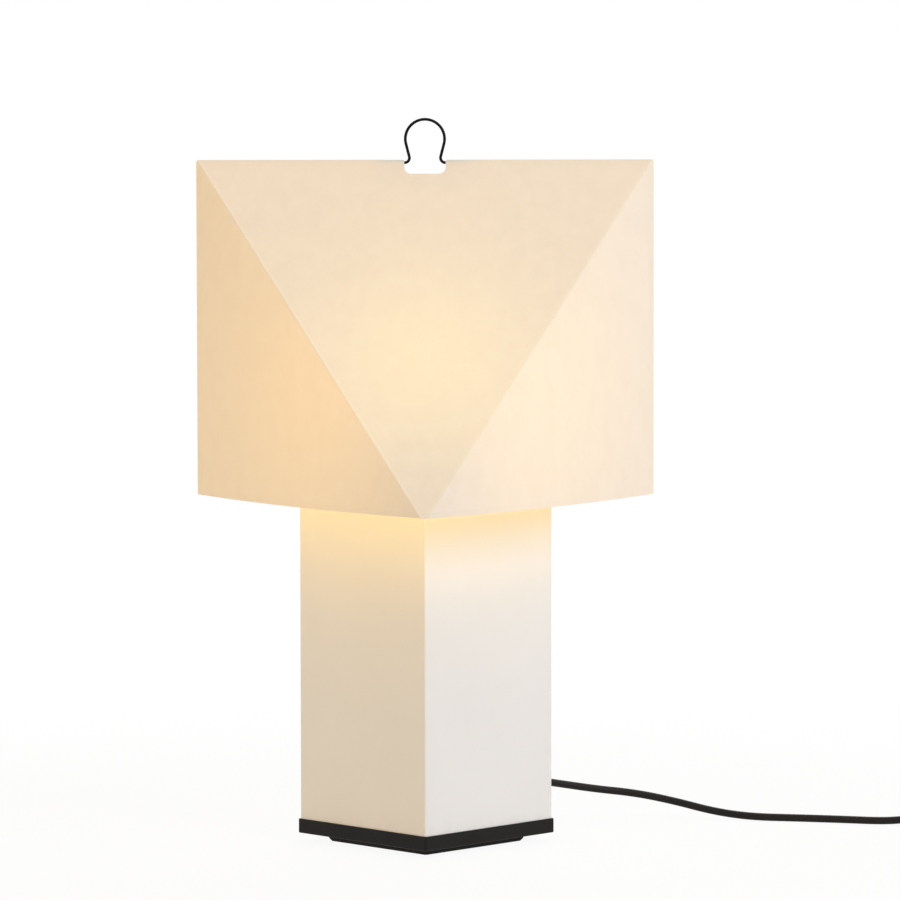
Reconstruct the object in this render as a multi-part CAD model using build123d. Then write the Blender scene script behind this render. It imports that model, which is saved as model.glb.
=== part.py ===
from build123d import *
from math import acos, asin, atan2, cos, degrees, hypot, pi, radians, sin, tan
import os

# A table lamp: a folded paper shade hangs by its ridge on a bent wire above a square column.
# Millimetres. Origin: centre of the lamp on the surface it stands on. +Z up, the shade's
# ridge runs along X, and the column's faces stand at 45 degrees to it.

# ---------------------------------------------------------------- driving dimensions
# foot and base
foot_side = 118.0
foot_height = 7.0
foot_corner = 5.0
foot_chamfer = 2.5
base_side = 152.0
base_thickness = 12.0
base_corner = 2.0
base_edge = 0.8

# column, a square tube with welded corner blocks
column_side = 149.0
column_height = 278.0
column_wall = 2.0
column_corner = 1.5
column_inner_corner = 0.4
block_side = 12.0
block_edge = 1.0
lower_block_height = 14.0
upper_block_height = 10.0
top_plate_thickness = 3.0
top_plate_recess = 2.0
top_plate_gap = 0.3

# screws: countersunk from below into the lower blocks, pan heads on the top plate
base_screw_radius = 2.5
base_screw_head_radius = 5.0
base_screw_head_height = 2.6
base_screw_grip = 11.0
base_screw_sink = 0.2
top_screw_radius = 2.0
top_screw_head_radius = 3.8
top_screw_head_height = 2.4
top_screw_head_round = 1.4
top_screw_grip = 8.0
hex_socket_width = 3.0
hex_socket_depth = 1.6
thread_gap = 0.05
screw_hole_gap = 0.25

# threaded nipple that clamps the harp saddle and the lampholder to the top plate
nipple_radius = 4.95
nipple_bore_radius = 3.8
nipple_below_plate = 7.5
nipple_above_saddle = 8.5
nipple_gap = 0.1
washer_radius = 10.0
washer_thickness = 1.0
nut_across_flats = 14.0
nut_height = 4.0

# wire harp with the carrying loop
wire_diameter = 2.4
loop_radius = 16.3
loop_rise = 17.4
neck_half_width = 12.9
foot_bend_radius = 4.0
harp_half_width = 45.0
harp_shoulder_radius = 7.0
harp_kink_radius = 9.0
harp_kink_low = 4.5
harp_kink_high = 30.0
saddle_thickness = 1.5
saddle_width = 18.0
saddle_half_span = 26.0
saddle_arm_height = 26.0
saddle_bend_radius = 2.5
socket_radius = 2.6
socket_height = 17.0
socket_floor = 2.0
socket_gap = 0.15

# lampholder
holder_radius = 19.0
holder_wall = 2.0
holder_cap_height = 19.0
holder_cap_floor = 3.0
holder_cap_round = 5.0
holder_boss_radius = 8.5
holder_boss_height = 6.0
holder_shell_height = 29.5
holder_rim_radius = 17.6
holder_spigot = 4.0
holder_gap = 0.15
core_thickness = 4.0
core_round = 0.4
sleeve_radius = 13.4
sleeve_wall = 0.4
sleeve_height = 27.5
sleeve_floor_bore = 9.0
contact_thickness = 0.4
contact_width = 5.0
contact_rise = 3.0
contact_heel_length = 3.0
contact_heel_inset = 1.0
contact_toe_reach = 4.0
contact_toe_length = 2.0
terminal_height = 2.5
terminal_length = 6.0
terminal_width = 4.0
terminal_gap = 1.2

# bulb
bulb_tip_clearance = 0.3
bulb_globe_radius = 30.0
bulb_length = 105.0
bulb_glass_wall = 0.8
bulb_neck_radius = 13.6
bulb_neck_height = 7.0
bulb_neck_bend = 26.0
bulb_glass_tuck = 7.0
bulb_rim_gap = 0.1
bulb_cap_radius = 13.05
bulb_cap_height = 21.0
bulb_cap_wall = 0.4
bulb_insulator_height = 3.3
bulb_insulator_rim = 0.8
bulb_tip_radius = 4.8
bulb_tip_height = 1.2
bulb_tip_round = 0.8
stem_foot_radius = 6.0
stem_foot_height = 9.0
stem_neck_radius = 4.0
stem_rod_radius = 2.0
stem_taper = 6.0
stem_above_filament = 2.0
filament_ring_thickness = 1.2
filament_ring_margin = 1.5
filament_length = 30.0
filament_radius = 0.8
filament_ring_radius = 9.0
filament_count = 4

# folded paper shade
shade_half_diagonal = 190.0
shade_height = 279.0
shade_overlap = 5.0
shade_front_blunt = 3.0
shade_panel_bow = 12.0
paper = 0.6
binding = 0.25
binding_width = 4.5
ridge_seat = 0.3
notch_width = 36.0
notch_depth = 11.0
notch_corner = 4.2

# cord
cord_diameter = 6.5
cord_exit_height = 39.0
cord_bore_gap = 0.15
relief_flange_radius = 7.5
relief_flange_thickness = 2.5
relief_neck_radius = 5.2
relief_length = 26.0
relief_tip_radius = 4.4
relief_root_radius = 5.9
relief_rings = 5
relief_groove = 0.7
sheath_below_nipple = 4.0
core_wire_radius = 1.2
core_wire_gap = 0.3
coil_inner_radius = 26.4
coil_half_turns = 11
coil_gap = 0.6
tie_width = 8.0
tie_thickness = 0.8
tie_gap = 0.3
tie_side_gap = 0.7
tie_round = 3.4
floor_gap = 0.05

# switch in the cord
switch_length = 64.0
switch_width = 26.0
switch_wall = 1.8
switch_round = 3.0
switch_entry = 8.0
rocker_radius = 12.0
rocker_width = 12.0
rocker_gap = 0.5
rocker_depth = 4.5
rocker_dip = 3.4
rocker_rise = 5.2
rocker_skirt = 3.0
rocker_half_throw = 7.0
rocker_pin_radius = 1.0
rocker_pin_length = 1.6
rocker_pin_gap = 0.06
cheek_thickness = 2.0
cheek_half_width = 3.0
switch_screw_x = 22.0
switch_screw_y = 7.2
switch_boss_radius = 4.0
switch_screw_radius = 1.25
switch_screw_head_radius = 2.4
switch_screw_head_height = 1.6
switch_screw_sink = 0.6
switch_screw_grip = 5.0
switch_screw_end_gap = 1.0
terminal_block_x = 11.0
terminal_block_side = 8.0
terminal_block_height = 5.0
terminal_post_length = 3.0
terminal_post_width = 4.0
terminal_post_height = 3.0

# plug
plug_body_length = 36.0
plug_face_width = 35.0
plug_face_length = 12.0
plug_grip_width = 14.0
plug_shoulder = 24.0
plug_thickness = 14.0
plug_round = 2.0
plug_corner_round = 6.0
plug_face_round = 3.0
plug_grip_flare = 2.0
pin_radius = 2.0
pin_length = 19.0
pin_spacing = 18.6
pin_root = 8.0
pin_root_radius = 1.8
pin_tip_round = 1.2
plug_relief_length = 25.0
plug_relief_root_radius = 5.4

# ---------------------------------------------------------------- levels and shared places
base_z = foot_height
column_z = base_z + base_thickness
column_top = column_z + column_height
top_plate_top = column_top - top_plate_recess
top_plate_low = top_plate_top - top_plate_thickness
block_centre = column_side / 2 - column_wall - block_side / 2
saddle_top = top_plate_top + saddle_thickness
shade_bottom = column_top - shade_overlap
ridge_top = shade_bottom + shade_height
wire_radius = wire_diameter / 2
ridge_outer_radius = wire_radius + ridge_seat + binding + paper
shoulder_z = ridge_top - ridge_outer_radius
cord_radius = cord_diameter / 2


def upright(z_low, z_high, radius, x=0.0, y=0.0):
    """A vertical cylinder between two levels."""
    low = (Align.CENTER, Align.CENTER, Align.MIN)
    return Pos(x, y, z_low) * Cylinder(radius, z_high - z_low, align=low)


def slab(side, corner, z_low, z_high):
    """A square slab with rounded upright edges between two levels."""
    return Pos(0, 0, z_low) * extrude(RectangleRounded(side, side, corner), z_high - z_low)


def turned(shape):
    """The column's own axes stand at 45 degrees to the ridge."""
    return Rot(0, 0, 45) * shape


def at_corners(distance):
    return [(sx * distance, sy * distance) for sx in (-1, 1) for sy in (-1, 1)]


def block_between(x_low, x_high, y_low, y_high, z_low, z_high):
    return Pos((x_low + x_high) / 2, (y_low + y_high) / 2, (z_low + z_high) / 2) * Box(
        x_high - x_low, y_high - y_low, z_high - z_low)


def revolved(*points):
    """A turned solid from (radius, height) points."""
    outline = Polyline(*[(r, 0, z) for r, z in points], close=True)
    return revolve(make_face(outline), Axis.Z)


def group(solids):
    return Compound(children=[s.solid() for s in solids])


# ---------------------------------------------------------------- foot and base
def foot_pad():
    pad = slab(foot_side, foot_corner, 0, foot_height)
    pad = chamfer(pad.faces().sort_by(Axis.Z)[0].edges(), foot_chamfer)
    return turned(pad)


def base_plate():
    plate = slab(base_side, base_corner, base_z, column_z)
    rims = plate.faces().sort_by(Axis.Z)
    plate = fillet(rims[0].edges() + rims[-1].edges(), base_edge)
    hole_radius = base_screw_radius + screw_hole_gap
    head_radius = base_screw_head_radius + screw_hole_gap
    sink_depth = base_screw_sink + base_screw_head_height
    for x, y in at_corners(block_centre):
        plate -= upright(base_z, column_z, hole_radius, x, y)
        plate -= Pos(x, y, base_z + sink_depth / 2) * Cone(head_radius, hole_radius, sink_depth)
    return turned(plate)


def hex_socket(z_mouth, direction):
    prism = extrude(RegularPolygon(hex_socket_width / 2, 6, major_radius=False), hex_socket_depth)
    return Pos(0, 0, z_mouth - (hex_socket_depth if direction > 0 else 0)) * prism


def base_screws():
    head_low = base_z + base_screw_sink
    head_top = head_low + base_screw_head_height
    head = Pos(0, 0, (head_low + head_top) / 2) * Cone(
        base_screw_head_radius, base_screw_radius, base_screw_head_height)
    screw = head + upright(head_top, column_z + base_screw_grip, base_screw_radius)
    screw -= hex_socket(head_low, -1)
    return turned(group([Pos(x, y, 0) * screw for x, y in at_corners(block_centre)]))


# ---------------------------------------------------------------- column
def column_tube():
    tube = slab(column_side, column_corner, column_z, column_top)
    tube -= slab(column_side - 2 * column_wall, column_inner_corner, column_z, column_top)
    hole = Pos(column_side / 2, 0, cord_exit_height) * Rot(0, 90, 0) * Cylinder(
        relief_neck_radius + cord_bore_gap, 4 * column_wall)
    return turned(tube - hole)


def corner_blocks(z_low, z_high, hole_radius):
    block = Pos(0, 0, z_low) * extrude(
        RectangleRounded(block_side, block_side, block_edge), z_high - z_low)
    block -= upright(z_low, z_high, hole_radius)
    return turned(group([Pos(x, y, 0) * block for x, y in at_corners(block_centre)]))


def lower_corner_blocks():
    return corner_blocks(column_z, column_z + lower_block_height, base_screw_radius + thread_gap)


def upper_corner_blocks():
    return corner_blocks(top_plate_low - upper_block_height, top_plate_low,
                         top_screw_radius + thread_gap)


def column_top_plate():
    side = column_side - 2 * (column_wall + top_plate_gap)
    plate = slab(side, block_edge, top_plate_low, top_plate_top)
    plate -= upright(top_plate_low, top_plate_top, nipple_radius + nipple_gap)
    for x, y in at_corners(block_centre):
        plate -= upright(top_plate_low, top_plate_top, top_screw_radius + screw_hole_gap, x, y)
    return turned(plate)


def top_plate_screws():
    head = upright(top_plate_top, top_plate_top + top_screw_head_height, top_screw_head_radius)
    head = fillet(head.faces().sort_by(Axis.Z)[-1].edges(), top_screw_head_round)
    screw = head + upright(top_plate_top - top_screw_grip, top_plate_top, top_screw_radius)
    screw -= hex_socket(top_plate_top + top_screw_head_height, 1)
    return turned(group([Pos(x, y, 0) * screw for x, y in at_corners(block_centre)]))


# ---------------------------------------------------------------- nipple, washer and nut
nipple_low = top_plate_low - nipple_below_plate
nipple_top = saddle_top + nipple_above_saddle


def nipple():
    return upright(nipple_low, nipple_top, nipple_radius) - upright(
        nipple_low, nipple_top, nipple_bore_radius)


def nipple_washer():
    low = top_plate_low - washer_thickness
    return upright(low, top_plate_low, washer_radius) - upright(
        low, top_plate_low, nipple_radius + nipple_gap)


def nipple_nut():
    high = top_plate_low - washer_thickness
    nut = Pos(0, 0, high - nut_height) * extrude(
        RegularPolygon(nut_across_flats / 2, 6, major_radius=False), nut_height)
    return nut - upright(high - nut_height, high, nipple_radius + thread_gap)


# ---------------------------------------------------------------- harp
socket_x = saddle_half_span + socket_radius - saddle_thickness / 4
socket_low = top_plate_top + saddle_arm_height - socket_height


def harp_saddle():
    half, arm = saddle_half_span, saddle_arm_height
    inner = half - saddle_thickness
    profile = Plane.XZ * (Pos(0, arm / 2) * Rectangle(2 * half, arm)
                          - Pos(0, arm / 2 + saddle_thickness) * Rectangle(2 * inner, arm))
    strip = extrude(profile, saddle_width / 2, both=True)
    bends = strip.edges().filter_by(Axis.Y).group_by(Axis.Z)
    strip = fillet(bends[0], saddle_bend_radius)
    inner_bends = strip.edges().filter_by(Axis.Y).filter_by(
        lambda e: abs(e.center().Z - saddle_thickness) < 0.01 and abs(abs(e.center().X) - inner) < 0.01)
    strip = fillet(inner_bends, saddle_bend_radius - saddle_thickness)
    strip = Pos(0, 0, top_plate_top) * strip
    strip -= upright(top_plate_top, saddle_top, nipple_radius + nipple_gap)
    bore = wire_radius + socket_gap
    for side in (-1, 1):
        x = side * socket_x
        strip += upright(socket_low, socket_low + socket_height, socket_radius, x)
        strip -= upright(socket_low + socket_floor, socket_low + socket_height, bore, x)
    return strip


def harp_line():
    """Centre line: a leg, its shoulder under the ridge, the loop, and the same mirrored."""
    foot_x, foot_z = neck_half_width + foot_bend_radius, shoulder_z + foot_bend_radius
    loop_z = ridge_top + loop_rise
    away = atan2(foot_z - loop_z, foot_x)
    lean = acos((loop_radius + foot_bend_radius) / hypot(foot_x, foot_z - loop_z))
    side = away + lean
    leaves_loop = (loop_radius * cos(side), loop_z + loop_radius * sin(side))
    meets_foot = (foot_x - foot_bend_radius * cos(side), foot_z - foot_bend_radius * sin(side))
    half_way = (side + pi + 1.5 * pi) / 2
    on_foot = (foot_x + foot_bend_radius * cos(half_way), foot_z + foot_bend_radius * sin(half_way))
    leg_low = socket_low + socket_floor + socket_gap
    socket_top = socket_low + socket_height
    kink_low, kink_high = socket_top + harp_kink_low, socket_top + harp_kink_high
    leg = [(socket_x, leg_low), (socket_x, kink_low), (harp_half_width, kink_high),
           (harp_half_width, shoulder_z), (foot_x, shoulder_z)]
    radii = [harp_kink_radius, harp_kink_radius, harp_shoulder_radius]

    def flat(point, mirror):
        return (mirror * point[0], 0, point[1])

    edges = []
    for mirror in (-1, 1):
        edges += FilletPolyline(*[flat(p, mirror) for p in leg], radius=radii).edges()
        edges += ThreePointArc(flat((foot_x, shoulder_z), mirror), flat(on_foot, mirror),
                               flat(meets_foot, mirror)).edges()
        edges += Line(flat(meets_foot, mirror), flat(leaves_loop, mirror)).edges()
    edges += ThreePointArc(flat(leaves_loop, -1), (0, 0, loop_z + loop_radius),
                           flat(leaves_loop, 1)).edges()
    return Wire(edges)


def tube(line, radius):
    """A round tube along a line, from its first point."""
    return sweep(Plane(line @ 0, z_dir=line % 0) * Circle(radius), path=line)


def harp_wire():
    return tube(harp_line(), wire_radius)


# ---------------------------------------------------------------- lampholder
cap_low = saddle_top
cap_top = cap_low + holder_cap_height
holder_bore = holder_radius - holder_wall
spigot_outer = holder_bore - holder_gap
spigot_inner = spigot_outer - holder_wall
core_top = cap_top - holder_spigot + core_thickness / 2
core_low = core_top - core_thickness
bulb_tip = core_top + contact_rise + bulb_tip_clearance
shell_top = cap_top + holder_shell_height


def lampholder_cap():
    bore = nipple_radius + nipple_gap
    cap = revolved((bore, cap_low), (holder_radius, cap_low), (holder_radius, cap_top),
                   (holder_bore, cap_top), (holder_bore, cap_low + holder_cap_floor),
                   (holder_boss_radius, cap_low + holder_cap_floor),
                   (holder_boss_radius, cap_low + holder_cap_floor + holder_boss_height),
                   (bore, cap_low + holder_cap_floor + holder_boss_height))
    rims = cap.edges().filter_by(GeomType.CIRCLE)
    outer = [e for e in rims if abs(e.radius - holder_radius) < 0.01 and e.center().Z < cap_low + 0.01]
    return fillet(outer, holder_cap_round - holder_wall)


def lampholder_shell():
    spigot_low = cap_top - holder_spigot
    return revolved((spigot_inner, spigot_low), (spigot_outer, spigot_low), (spigot_outer, cap_top),
                    (holder_radius, cap_top), (holder_radius, cap_top + holder_wall),
                    (holder_rim_radius, shell_top - holder_wall / 2),
                    (holder_rim_radius - holder_wall / 2, shell_top), (spigot_inner, shell_top))


def lampholder_core():
    core = upright(core_low, core_top, spigot_inner - holder_gap)
    return fillet(core.edges().filter_by(GeomType.CIRCLE), core_round)


def lampholder_sleeve():
    outer = sleeve_radius + sleeve_wall
    sleeve = upright(core_top, core_top + sleeve_height, outer)
    sleeve -= upright(core_top + sleeve_wall, core_top + sleeve_height, sleeve_radius)
    return sleeve - upright(core_top, core_top + sleeve_wall, sleeve_floor_bore)


def lampholder_contact():
    """The sprung centre tongue under the bulb's tip."""
    high = bulb_tip - bulb_tip_clearance
    low = high - contact_thickness
    heel = contact_heel_inset - sleeve_floor_bore
    bend = heel + contact_heel_length
    toe = contact_toe_reach - contact_toe_length
    heel_top = core_top + contact_thickness
    tongue = Polyline((heel, 0, core_top), (bend, 0, core_top), (toe, 0, low),
                      (contact_toe_reach, 0, low), (contact_toe_reach, 0, high),
                      (toe - contact_thickness, 0, high), (bend - contact_thickness / 2, 0, heel_top),
                      (heel, 0, heel_top), close=True)
    return extrude(make_face(tongue), contact_width / 2, both=True)


def lampholder_terminals():
    block = block_between(terminal_gap / 2, terminal_gap / 2 + terminal_length, -terminal_width / 2,
                          terminal_width / 2, core_low - terminal_height, core_low)
    return turned(group([block, Rot(0, 0, 180) * block]))


# ---------------------------------------------------------------- bulb
bulb_top = bulb_tip + bulb_length
globe_z = bulb_top - bulb_globe_radius
bulb_insulator_low = bulb_tip + bulb_tip_height
bulb_cap_low = bulb_insulator_low + bulb_insulator_height
bulb_cap_top = bulb_cap_low + bulb_cap_height


def bulb_envelope(inset):
    """The bulb's outer form, or its inner one at the glass wall's thickness."""
    globe = bulb_globe_radius - inset
    tuck = bulb_cap_radius - bulb_cap_wall - bulb_rim_gap - inset
    neck = bulb_neck_radius - inset
    step = bulb_cap_top + bulb_rim_gap + inset
    neck_top = bulb_cap_top + bulb_neck_height
    gap = hypot(neck, globe_z - neck_top)
    bearing = atan2(neck_top - globe_z, neck)
    touch = bearing + acos(globe / gap)
    touch_point = (globe * cos(touch), globe_z + globe * sin(touch))
    low = bulb_cap_top - bulb_glass_tuck + inset
    side = FilletPolyline((neck, 0, step), (neck, 0, neck_top),
                          (touch_point[0], 0, touch_point[1]), radius=bulb_neck_bend)
    middle = (touch + pi / 2) / 2
    crown = ThreePointArc((touch_point[0], 0, touch_point[1]),
                          (globe * cos(middle), 0, globe_z + globe * sin(middle)), (0, 0, globe_z + globe))
    rest = Polyline((0, 0, globe_z + globe), (0, 0, low), (tuck, 0, low), (tuck, 0, step),
                    (neck, 0, step))
    return revolve(make_face(side.edges() + crown.edges() + rest.edges()), Axis.Z)


def bulb_glass():
    return bulb_envelope(0) - bulb_envelope(bulb_glass_wall)


def bulb_cap():
    return upright(bulb_cap_low, bulb_cap_top, bulb_cap_radius) - upright(
        bulb_cap_low, bulb_cap_top, bulb_cap_radius - bulb_cap_wall)


def bulb_insulator():
    middle = (bulb_insulator_low + bulb_cap_low) / 2
    return Pos(0, 0, middle) * Cone(bulb_tip_radius + bulb_insulator_rim,
                                    bulb_cap_radius - bulb_cap_wall / 2, bulb_insulator_height)


def bulb_tip_contact():
    tip = upright(bulb_tip, bulb_insulator_low, bulb_tip_radius)
    return fillet(tip.faces().sort_by(Axis.Z)[0].edges(), bulb_tip_round)


stem_low = bulb_cap_top - bulb_glass_tuck + bulb_glass_wall
filament_low = globe_z - filament_length / 2


def bulb_stem():
    stem_top = filament_low + filament_length + stem_above_filament
    stem = revolved((0, stem_low), (stem_foot_radius, stem_low),
                    (stem_neck_radius, stem_low + stem_foot_height),
                    (stem_rod_radius, filament_low - stem_taper), (stem_rod_radius, stem_top),
                    (0, stem_top))
    return stem + upright(filament_low - filament_ring_thickness, filament_low,
                          filament_ring_radius + filament_ring_margin)


def bulb_filaments():
    angles = [2 * pi * i / filament_count for i in range(filament_count)]
    return group([upright(filament_low, filament_low + filament_length, filament_radius,
                          filament_ring_radius * cos(a), filament_ring_radius * sin(a)) for a in angles])


# ---------------------------------------------------------------- folded paper shade
def roof_line(inset):
    """Apex height of the two sloping facets, and how far out they meet the bottom edge."""
    fold = ridge_outer_radius
    span = shade_half_diagonal - shade_front_blunt
    # the roof plane touches the ridge's rounding and ends at the front corner's blunt edge
    reach = hypot(span, shoulder_z - shade_bottom)
    slope = atan2(span, shoulder_z - shade_bottom) - asin(fold / reach)
    apex_z = shoulder_z + (fold - inset) / sin(slope)
    return apex_z, (apex_z - shade_bottom) * tan(slope)


def shade_walls(inset):
    """The side panels' upright prism. Each panel bows out as a shallow cone from the ridge's end."""
    half = shade_half_diagonal - inset / cos(pi / 4)
    apex_z, foot_y = roof_line(inset)
    walls = Pos(0, 0, shade_bottom) * extrude(
        make_face(Polyline((-half, 0), (0, -half), (half, 0), (0, half), close=True)),
        2 * shade_height)
    for sx, sy in at_corners(1):
        side = Vector(sx * half, 0, shade_bottom)
        front = Vector(sx * (half - foot_y), sy * foot_y, shade_bottom)
        crown = (side + front) / 2 + Vector(sx, sy, 0).normalized() * shade_panel_bow
        rim = Wire([Edge.make_three_point_arc(side, crown, front), Edge.make_line(front, side)])
        walls += Solid.make_loft([rim, Vertex(sx * half, 0, apex_z)], ruled=True)
    return walls


def shade_roof(inset):
    """The prism under the two sloping facets and the rounded ridge between them."""
    apex_z, foot_y = roof_line(inset)
    roof = FilletPolyline((0, -foot_y, shade_bottom), (0, 0, apex_z), (0, foot_y, shade_bottom),
                          radius=ridge_outer_radius - inset)
    closing = Line((0, foot_y, shade_bottom), (0, -foot_y, shade_bottom))
    return extrude(make_face(roof.edges() + closing.edges()), shade_half_diagonal, both=True,
                   dir=(1, 0, 0))


def notch():
    outline = Plane.XZ * Pos(0, ridge_top + notch_depth / 2) * Rectangle(notch_width, 3 * notch_depth)
    block = extrude(outline, 3 * notch_depth, both=True)
    low = block.edges().filter_by(Axis.Y).group_by(Axis.Z)[0]
    return fillet(low, notch_corner)


def shade_form(inset):
    """The space inside the shade's outer faces, or inside any layer further in."""
    return shade_walls(inset) & shade_roof(inset)


def crease_plane(sx, sy):
    """The mitre through one crease; its upper side is the sloping facet's."""
    apex_z, foot_y = roof_line(0)
    apex = Vector(sx * shade_half_diagonal, 0, apex_z)
    along = Vector(sx * (shade_half_diagonal - foot_y), sy * foot_y, shade_bottom) - apex
    normal = along.cross(Vector(0, 0, shade_bottom) - apex)
    return Plane(origin=apex, x_dir=along, z_dir=normal if normal.Z > 0 else -normal)


far = 2 * shade_half_diagonal
paper_shell = shade_form(0) - shade_form(paper)
binding_shell = shade_form(paper) - shade_form(paper + binding)
ridge_gap = notch()
binding_top = shade_bottom + binding_width
ridge_band_low = ridge_top - binding_width
side_band_x = shade_half_diagonal - binding_width


def folded_sheet(sy):
    """One sheet in its three panels, which meet at the two creases."""
    y_low, y_high = sorted((0, sy * far))
    sheet = paper_shell & block_between(-far, far, y_low, y_high, 0, 2 * ridge_top)
    left, right = crease_plane(-1, sy), crease_plane(1, sy)
    facet = split(split(sheet, left, keep=Keep.TOP), right, keep=Keep.TOP) - ridge_gap
    return group([facet, split(sheet, left, keep=Keep.BOTTOM), split(sheet, right, keep=Keep.BOTTOM)])


def shade_front_sheet():
    return folded_sheet(-1)


def shade_back_sheet():
    return folded_sheet(1)


def shade_bottom_binding():
    return binding_shell & block_between(-far, far, -far, far, 0, binding_top)


def shade_side_bindings():
    return group([binding_shell & block_between(low, high, -far, far, binding_top, 2 * ridge_top)
                  for low, high in ((-far, -side_band_x), (side_band_x, far))])


def shade_ridge_bindings():
    band = (binding_shell & block_between(-side_band_x, side_band_x, -far, far,
                                          ridge_band_low, 2 * ridge_top)) - ridge_gap
    return group(band.solids())


# ---------------------------------------------------------------- cord inside the column
relief_face = column_side / 2
relief_end = relief_face + relief_length


def ribbed_relief(start, end, root, tip):
    """(distance, radius) points of a tapered sleeve with flex grooves."""
    step = (end - start) / relief_rings
    points = []
    for ring in range(relief_rings):
        low, high = start + ring * step, start + (ring + 1) * step
        radius = root + (tip - root) * ring / (relief_rings - 1)
        points += [(low, radius), (high - step / 3, radius)]
        if ring < relief_rings - 1:
            points += [(high - step / 3, radius - relief_groove), (high, radius - relief_groove)]
    return points + [(end, tip - relief_groove / 2)]


def turned_along_x(points, bore):
    outline = [(points[0][0], 0, bore)] + [(d, 0, r) for d, r in points] + [(points[-1][0], 0, bore)]
    return revolve(make_face(Polyline(*outline, close=True)), Axis.X)


def cord_strain_relief():
    inside = relief_face - column_wall
    root = relief_face + relief_flange_thickness
    points = [(inside - relief_flange_thickness, relief_flange_radius), (inside, relief_flange_radius),
              (inside, relief_neck_radius), (relief_face, relief_neck_radius),
              (relief_face, relief_flange_radius), (root, relief_flange_radius)]
    points += ribbed_relief(root, relief_end, relief_root_radius, relief_tip_radius)
    sleeve = turned_along_x(points, cord_radius + cord_bore_gap)
    return turned(Pos(0, 0, cord_exit_height) * sleeve)


def rounded_route(points):
    """Straight runs joined by arcs as large as the runs allow; prints the radii."""
    vectors = [Vector(*p) for p in points]
    radii = []
    for before, at, after in zip(vectors, vectors[1:], vectors[2:]):
        half_turn = radians((at - before).get_angle(after - at)) / 2
        radii.append(0.45 * min((at - before).length, (after - at).length) / tan(half_turn))
    return FilletPolyline(*points, radius=radii), radii


def report_tube(name, solid, line):
    section = pi * cord_radius ** 2 * line.length
    print(name, "length", round(line.length, 1), "volume / section x length",
          round(solid.volume / section, 4))


sheath_top = nipple_top - sheath_below_nipple
inner_route = [(relief_end, 0, cord_exit_height), (56.0, 0, cord_exit_height),
               (22.0, 0, cord_exit_height + 16.0), (5.0, 0, cord_exit_height + 56.0),
               (-1.5, 0, cord_exit_height + 116.0), (0, 0, nipple_low - 55.0), (0, 0, sheath_top)]


def inner_cord():
    line, radii = rounded_route(inner_route)
    cord = tube(line, cord_radius)
    print("inner cord radii", [round(r, 1) for r in radii])
    report_tube("inner cord", cord, line)
    return turned(cord)


def inner_cord_cores():
    spread = core_wire_radius + core_wire_gap
    return turned(group([upright(sheath_top, core_low - terminal_height, core_wire_radius, side * spread)
                         for side in (-1, 1)]))


# ---------------------------------------------------------------- cord on the floor
coil_bottom_z = floor_gap + tie_thickness + tie_gap + cord_radius
coil_pitch = cord_diameter + coil_gap
coil_top_z = coil_bottom_z + coil_pitch
switch_z = coil_top_z
switch_x = 440.0
switch_y = 78.0
exit_x = relief_end * cos(pi / 4)
lead_route = [(exit_x, exit_x, cord_exit_height), (exit_x + 17, exit_x + 17, cord_exit_height),
              (112.0, 106.0, 33.0), (143.0, 119.0, 26.5), (178.0, 125.0, 22.0), (212.0, 124.0, 15.0),
              (244.0, 119.0, 7.0), (276.0, 112.0, cord_radius), (314.0, 105.0, cord_radius),
              (354.0, 96.0, cord_radius), (388.0, 86.0, cord_radius), (410.0, 80.5, cord_radius + 2.5),
              (427.0, switch_y, switch_z), (switch_x + switch_entry, switch_y, switch_z)]


def cord_lead():
    line, radii = rounded_route(lead_route)
    cord = tube(line, cord_radius)
    print("lead radii", [round(r, 1) for r in radii])
    report_tube("lead", cord, line)
    return cord


coil_start_radius = coil_inner_radius + coil_pitch * coil_half_turns / 4
coil_lead_in = 42.0
coil_x = switch_x + switch_length + coil_lead_in
coil_y = switch_y + coil_start_radius
plug_z = plug_thickness / 2
coil_rise_out = 30.0
plug_y = coil_y + coil_start_radius
relief_x = coil_x - coil_rise_out - cord_diameter


def coil_point(turn):
    """Place and heading after an angle: in on the upper layer, down half way, out on the lower."""
    middle = pi * coil_half_turns / 2
    drop = min(max((turn - middle) / pi + 0.5, 0.0), 1.0)
    radius = coil_inner_radius + coil_pitch * abs(turn - middle) / (2 * pi)
    height = coil_top_z - (coil_top_z - coil_bottom_z) * (1 - cos(pi * drop)) / 2
    bearing = turn - pi / 2
    ends = turn < 0.01 or turn > pi * coil_half_turns - 0.01 or abs(turn - middle) < 0.01
    creep = 0.0 if ends else coil_pitch / (2 * pi) * (1 if turn > middle else -1)
    fall = -(coil_top_z - coil_bottom_z) * sin(pi * drop) / 2
    place = Vector(coil_x + radius * cos(bearing), coil_y + radius * sin(bearing), height)
    heading = Vector(creep * cos(bearing) - radius * sin(bearing),
                     creep * sin(bearing) + radius * cos(bearing), fall)
    return place, heading.normalized()


def biarc(start, start_heading, end, end_heading):
    """Two arcs that leave and arrive in the given directions."""
    across = end - start
    total = start_heading + end_heading
    a = 2 * (1 - start_heading.dot(end_heading))
    b = 2 * across.dot(total)
    c = -across.dot(across)
    reach = -c / b if abs(a) < 1e-9 else (-b + (b * b - 4 * a * c) ** 0.5) / (2 * a)
    joint = (start + start_heading * reach + end - end_heading * reach) * 0.5
    first = Edge.make_tangent_arc(start, start_heading, joint)
    second = Edge.make_tangent_arc(joint, first % 1, end)
    return [first, second]


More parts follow.
